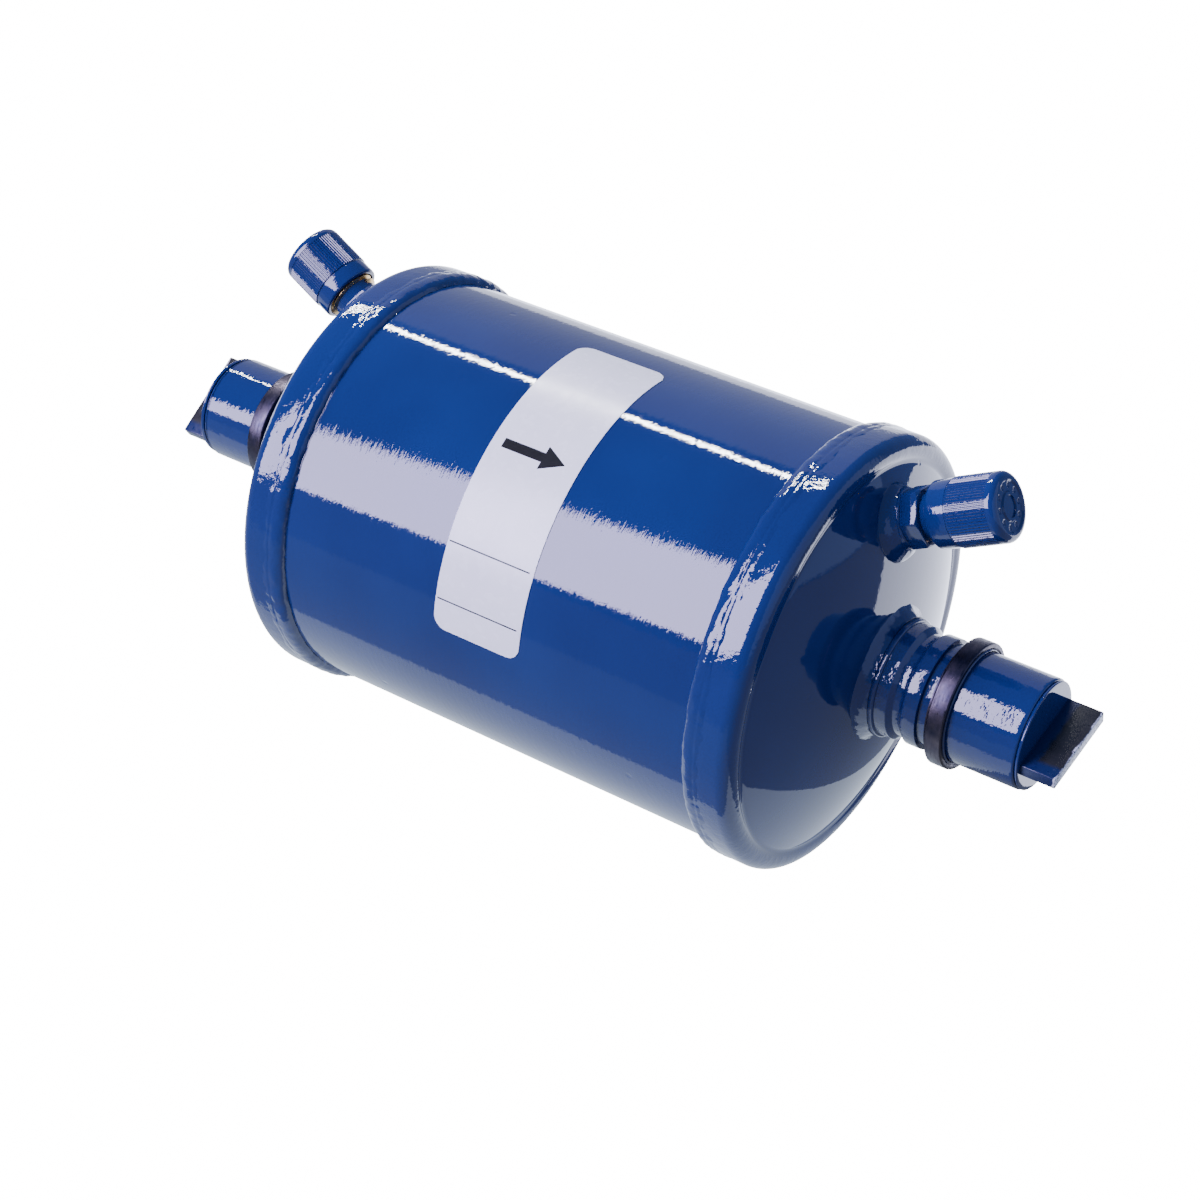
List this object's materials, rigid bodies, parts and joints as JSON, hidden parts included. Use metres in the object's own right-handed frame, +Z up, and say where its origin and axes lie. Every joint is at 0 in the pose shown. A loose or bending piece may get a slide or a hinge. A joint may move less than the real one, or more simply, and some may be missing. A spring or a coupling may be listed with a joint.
{
  "type": "suction line filter drier",
  "caption": "Sealed cylindrical refrigerant filter drier with domed heads, solder sockets, capped access valves, shipping plugs and an arrow label.",
  "frame": {"origin": "middle of the drier's length, on the centre plane, at the lowest line of the end bands", "axes": "+X along the drier's axis towards the outlet, +Z up through both access valves, -Y towards the label's side"},
  "size_m": [0.22, 0.0928, 0.0942],
  "materials": {
    "blue_enamel": "glossy blue epoxy enamel with a slight orange-peel ripple",
    "cap_enamel": "moulded cap, painted over in the same blue enamel",
    "black_plastic": "black moulded plastic with blue overspray",
    "steel": "bare plated steel",
    "brass": "machined brass",
    "white_film": "white printed film, satin",
    "desiccant": "moulded porous desiccant block",
    "felt": "pressed white felt",
    "seal_rubber": "black rubber"
  },
  "bodies": {
    "housing": {"shell_tube": "blue_enamel", "outlet_end_cap": "blue_enamel", "outlet_seam_weld": "blue_enamel", "outlet_neck": "blue_enamel", "outlet_neck_weld": "blue_enamel", "outlet_socket": "blue_enamel", "outlet_valve_body": "blue_enamel", "outlet_valve_braze": "blue_enamel", "outlet_core_barrel": "brass", "outlet_core_seal": "seal_rubber", "outlet_core_spring": "steel", "inlet_end_cap": "blue_enamel", "inlet_seam_weld": "blue_enamel", "inlet_neck": "blue_enamel", "inlet_neck_weld": "blue_enamel", "inlet_socket": "blue_enamel", "inlet_valve_body": "blue_enamel", "inlet_valve_braze": "blue_enamel", "inlet_core_barrel": "brass", "inlet_core_seal": "seal_rubber", "inlet_core_spring": "steel", "desiccant_core": "desiccant", "outlet_felt": "felt", "outlet_plate": "steel", "outlet_screen": "steel", "inlet_felt": "felt", "inlet_plate": "steel", "pack_spring": "steel", "label": "white_film"},
    "outlet_seal": {"outlet_cap_seal": "seal_rubber"},
    "outlet_cap": {"outlet_valve_cap": "cap_enamel"},
    "outlet_plug": {"outlet_plug": "black_plastic"},
    "outlet_pin": {"outlet_core_pin": "brass"},
    "inlet_seal": {"inlet_cap_seal": "seal_rubber"},
    "inlet_cap": {"inlet_valve_cap": "cap_enamel"},
    "inlet_plug": {"inlet_plug": "black_plastic"},
    "inlet_pin": {"inlet_core_pin": "brass"}
  },
  "joints": [
    {"name": "outlet_cap_advance", "type": "slide", "parent": "housing", "child": "outlet_seal", "axis": [0.8988, 0, 0.4384], "range_m": [0, 0.00889]},
    {"name": "outlet_cap_turn", "type": "hinge", "parent": "outlet_seal", "child": "outlet_cap", "pos_m": [0.07924, 0, 0.08522], "axis": [0.8988, 0, 0.4384], "range_deg": [0, 2520]},
    {"name": "outlet_plug_pull", "type": "slide", "parent": "housing", "child": "outlet_plug", "axis": [1, 0, 0], "range_m": [0, 0.025]},
    {"name": "outlet_pin_press", "type": "slide", "parent": "housing", "child": "outlet_pin", "axis": [-0.8988, 0, -0.4384], "range_m": [0, 0.0015], "stiffness_N_per_m": 400, "springref_m": -0.002, "deforming": ["outlet_core_spring"]},
    {"name": "inlet_cap_advance", "type": "slide", "parent": "housing", "child": "inlet_seal", "axis": [-0.8988, 0, 0.4384], "range_m": [0, 0.00889]},
    {"name": "inlet_cap_turn", "type": "hinge", "parent": "inlet_seal", "child": "inlet_cap", "pos_m": [-0.07924, 0, 0.08522], "axis": [-0.8988, 0, 0.4384], "range_deg": [0, 2520]},
    {"name": "inlet_plug_pull", "type": "slide", "parent": "housing", "child": "inlet_plug", "axis": [-1, 0, 0], "range_m": [0, 0.025]},
    {"name": "inlet_pin_press", "type": "slide", "parent": "housing", "child": "inlet_pin", "axis": [0.8988, 0, -0.4384], "range_m": [0, 0.0015], "stiffness_N_per_m": 400, "springref_m": -0.002, "deforming": ["inlet_core_spring"]}
  ],
  "couplings": [
    {"joint": "outlet_cap_turn", "follows": "outlet_cap_advance", "rad_per_m": 4947.4},
    {"joint": "inlet_cap_turn", "follows": "inlet_cap_advance", "rad_per_m": 4947.4}
  ]
}
